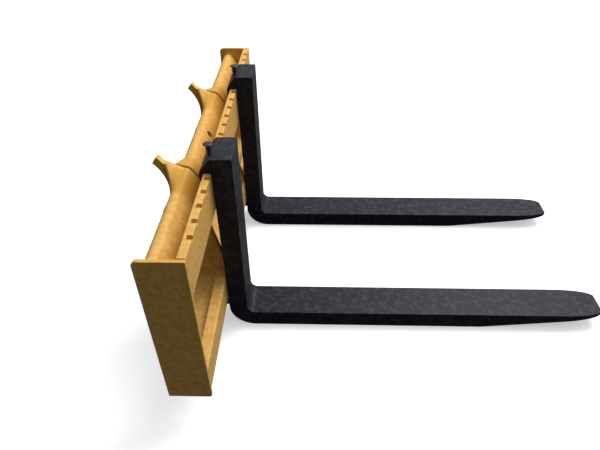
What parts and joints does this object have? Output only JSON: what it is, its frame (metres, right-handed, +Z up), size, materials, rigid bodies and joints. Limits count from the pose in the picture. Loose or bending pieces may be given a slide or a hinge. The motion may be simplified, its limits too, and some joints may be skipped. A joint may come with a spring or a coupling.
{
  "type": "pallet fork attachment",
  "caption": "Loader pallet fork attachment: welded carriage with coupler hooks and forged forks that slide along notched bars and lock with spring pins.",
  "frame": {"origin": "middle of the footprint, on the plane that the blades' undersides rest on", "axes": "+X along the forks to their tips, +Z up, +Y to the right-hand fork as this record names it, which is the far one in the picture"},
  "size_m": [1.6426, 1.52, 0.787],
  "materials": {
    "carriage_paint": "glossy ochre yellow enamel",
    "fork_paint": "semi-gloss black paint over forged steel",
    "latch_black": "black paint",
    "bush_steel": "machined, oiled",
    "spring_steel": "bare steel"
  },
  "bodies": {
    "carriage": {"end_plate_left": "carriage_paint", "end_plate_right": "carriage_paint", "upper_bar": "carriage_paint", "lower_bar": "carriage_paint", "ridge_plate": "carriage_paint", "box_tube": "carriage_paint", "hook_plate_left": "carriage_paint", "hook_plate_right": "carriage_paint", "saddle_cheek_left_outer": "carriage_paint", "saddle_cheek_left_inner": "carriage_paint", "saddle_cheek_right_inner": "carriage_paint", "saddle_cheek_right_outer": "carriage_paint", "lock_bush_left": "bush_steel", "lock_bush_right": "bush_steel"},
    "fork_left_body": {"fork_left": "fork_paint", "upper_hook_left": "fork_paint", "lower_hook_left": "fork_paint", "latch_bush_left": "latch_black", "latch_spring_left": "spring_steel"},
    "latch_left_body": {"latch_plunger_left": "latch_black", "latch_knob_left": "latch_black", "knob_pin_left": "spring_steel"},
    "fork_right_body": {"fork_right": "fork_paint", "upper_hook_right": "fork_paint", "lower_hook_right": "fork_paint", "latch_bush_right": "latch_black", "latch_spring_right": "spring_steel"},
    "latch_right_body": {"latch_plunger_right": "latch_black", "latch_knob_right": "latch_black", "knob_pin_right": "spring_steel"}
  },
  "joints": [
    {"name": "fork_left_slide", "type": "slide", "parent": "carriage", "child": "fork_left_body", "axis": [0, 1, 0], "range_m": [-0.35, 0.21]},
    {"name": "latch_left_lift", "type": "slide", "parent": "fork_left_body", "child": "latch_left_body", "axis": [0, 0, 1], "range_m": [-0.014, 0], "deforming": ["latch_spring_left"]},
    {"name": "fork_right_slide", "type": "slide", "parent": "carriage", "child": "fork_right_body", "axis": [0, 1, 0], "range_m": [-0.21, 0.28]},
    {"name": "latch_right_lift", "type": "slide", "parent": "fork_right_body", "child": "latch_right_body", "axis": [0, 0, 1], "range_m": [-0.014, 0], "deforming": ["latch_spring_right"]}
  ]
}
